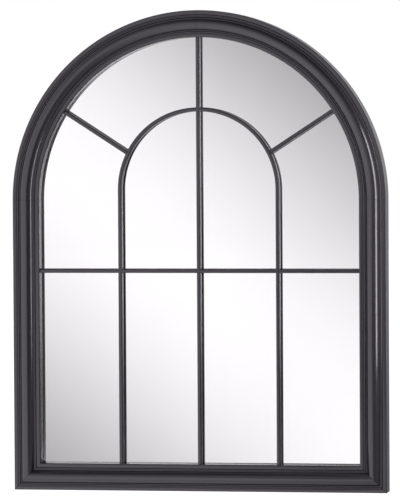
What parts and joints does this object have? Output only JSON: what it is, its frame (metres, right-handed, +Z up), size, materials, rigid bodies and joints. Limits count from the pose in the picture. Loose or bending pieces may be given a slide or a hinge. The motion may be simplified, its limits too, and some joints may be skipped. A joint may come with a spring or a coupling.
{
  "type": "window mirror",
  "caption": "Round-headed wall mirror framed like a window, with moulded frame, glazing bars over one mirror sheet, and swinging ring hangers on the back.",
  "frame": {"origin": "on the wall plane, midway between the axes of the two hanging rings", "axes": "+X to the viewer's right, +Y into the wall, +Z up; the mirror faces -Y"},
  "size_m": [0.7, 0.052, 0.89],
  "materials": {
    "charcoal_paint": "satin charcoal paint",
    "beech": "bare",
    "zinc_steel": "zinc plated",
    "clear_glass": "clear float glass",
    "silvering": "silvered",
    "rubber": "matte",
    "hardboard": "bare hardboard"
  },
  "bodies": {
    "framed_mirror": {"left_stile": "charcoal_paint", "right_stile": "charcoal_paint", "bottom_rail": "charcoal_paint", "left_arch": "charcoal_paint", "right_arch": "charcoal_paint", "centre_bar": "charcoal_paint", "cross_bar": "charcoal_paint", "left_leg_bar": "charcoal_paint", "right_leg_bar": "charcoal_paint", "inner_arch_bar": "charcoal_paint", "left_fan_bar": "charcoal_paint", "right_fan_bar": "charcoal_paint", "springing_dowels": "beech", "crown_dowels": "beech", "mitre_dowels": "beech", "bar_pins": "zinc_steel", "retaining_tabs": "zinc_steel", "hanger_screws": "zinc_steel", "left_hanger_strap": "zinc_steel", "right_hanger_strap": "zinc_steel", "mirror_glass": "clear_glass", "silver_coat": "silvering", "setting_blocks": "rubber", "wall_bumpers": "rubber", "backing_board": "hardboard"},
    "left_hanging_ring": {"left_ring": "zinc_steel"},
    "right_hanging_ring": {"right_ring": "zinc_steel"}
  },
  "joints": [
    {"name": "left_ring_swing", "type": "hinge", "parent": "framed_mirror", "child": "left_hanging_ring", "pos_m": [-0.32792, -0.00312, 0], "axis": [1, 0, 0], "range_deg": [0, 180]},
    {"name": "right_ring_swing", "type": "hinge", "parent": "framed_mirror", "child": "right_hanging_ring", "pos_m": [0.32792, -0.00312, 0], "axis": [1, 0, 0], "range_deg": [0, 180]}
  ]
}
